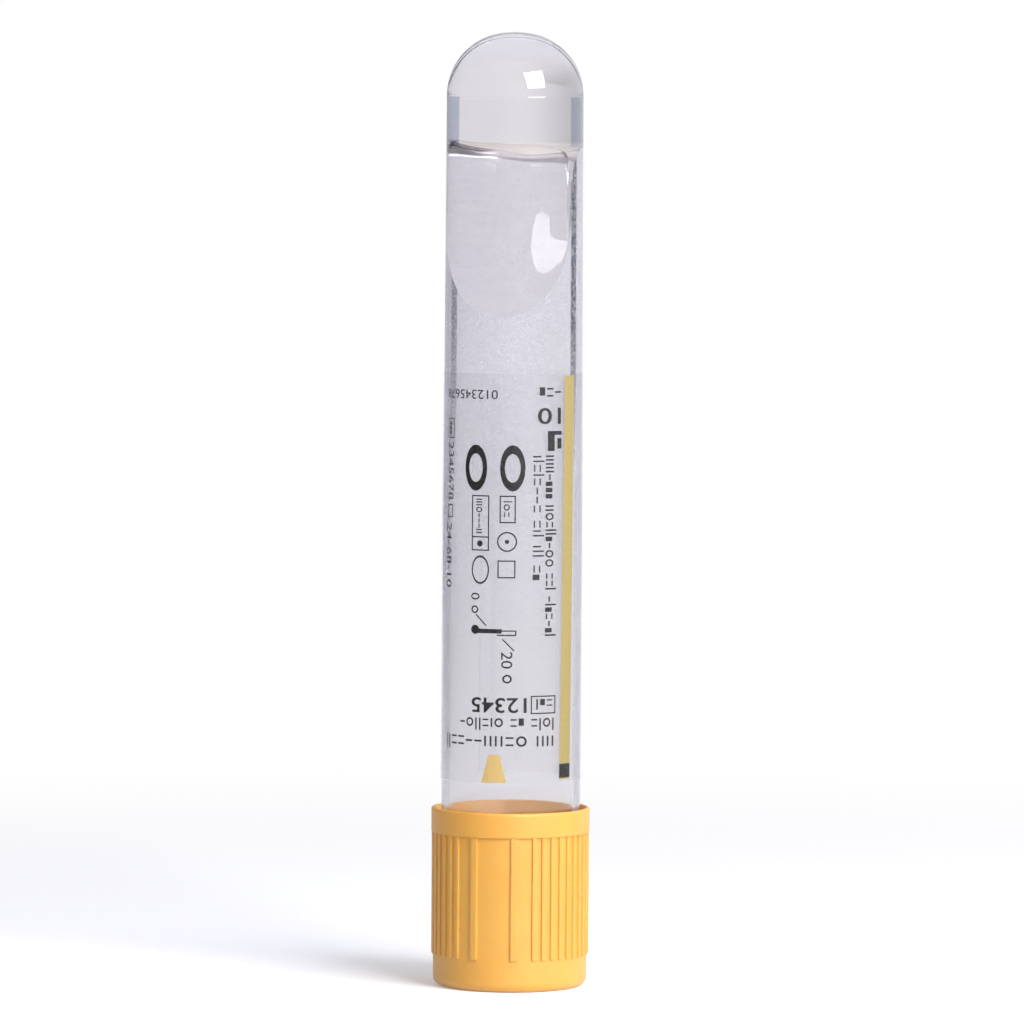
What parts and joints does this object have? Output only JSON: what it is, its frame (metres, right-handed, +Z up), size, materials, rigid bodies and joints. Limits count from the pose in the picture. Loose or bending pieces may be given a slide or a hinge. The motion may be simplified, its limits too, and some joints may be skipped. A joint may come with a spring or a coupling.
{
  "type": "blood collection tube",
  "caption": "Clear round-bottom serum gel tube standing upside down on its ribbed yellow push-on closure, with a printed clear label film and gel in the domed end.",
  "frame": {"origin": "centre of the closure's flat standing face", "axes": "+Z up along the tube's axis, from the closure to the domed end; -Y is the side shown in the picture"},
  "size_m": [0.0182, 0.0182, 0.1098],
  "materials": {
    "clear_pet": "clear, gloss, dusted inside with clot activator",
    "gel": "translucent soft gel",
    "clear_film": "clear film printed with coloured fields",
    "butyl_rubber": "satin rubber",
    "yellow_polyethylene": "satin moulded polyethylene"
  },
  "bodies": {
    "closure_shell": {"shield": "yellow_polyethylene"},
    "stopper_body": {"stopper": "butyl_rubber"},
    "tube_body": {"tube": "clear_pet", "separator_gel": "gel", "label_film": "clear_film"}
  },
  "joints": [
    {"name": "twist", "type": "hinge", "parent": "closure_shell", "child": "stopper_body", "pos_m": [0, 0, 0.0062], "axis": [0, 0, 1], "continuous": true},
    {"name": "pull", "type": "slide", "parent": "stopper_body", "child": "tube_body", "axis": [0, 0, 1], "range_m": [0, 0.015]}
  ]
}
